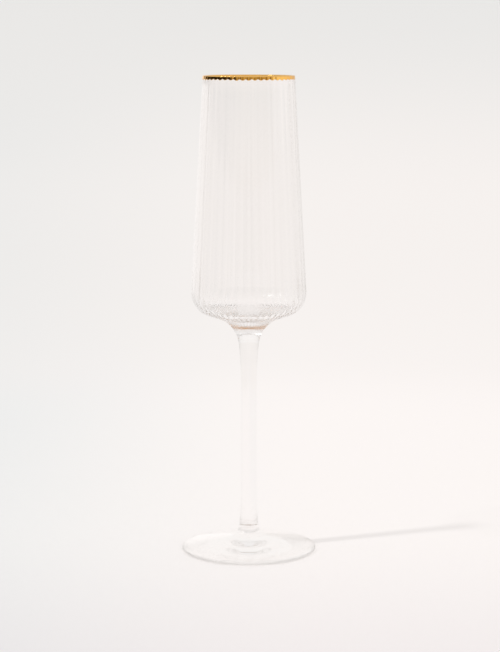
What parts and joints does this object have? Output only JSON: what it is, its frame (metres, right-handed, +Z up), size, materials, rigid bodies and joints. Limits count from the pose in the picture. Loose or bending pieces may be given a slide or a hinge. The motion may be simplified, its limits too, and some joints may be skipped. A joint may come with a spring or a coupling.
{
  "type": "champagne flute",
  "caption": "Tall clear glass champagne flute with a ribbed, gently tapering bowl, a slender stem, a shallow disc foot and a gilded lip.",
  "frame": {"origin": "centre of the resting plane, under the middle of the foot", "axes": "+Z up along the stem, from the foot to the lip; the ribs are spread evenly round it and one rib lies on +X"},
  "size_m": [0.071, 0.071, 0.25],
  "materials": {
    "clear_glass": "clear, fire-polished",
    "gold": "bright fired gold, brushed on by hand"
  },
  "bodies": {
    "root": {"bowl": "clear_glass", "stem": "clear_glass", "foot": "clear_glass", "gilded_lip": "gold"}
  },
  "joints": []
}
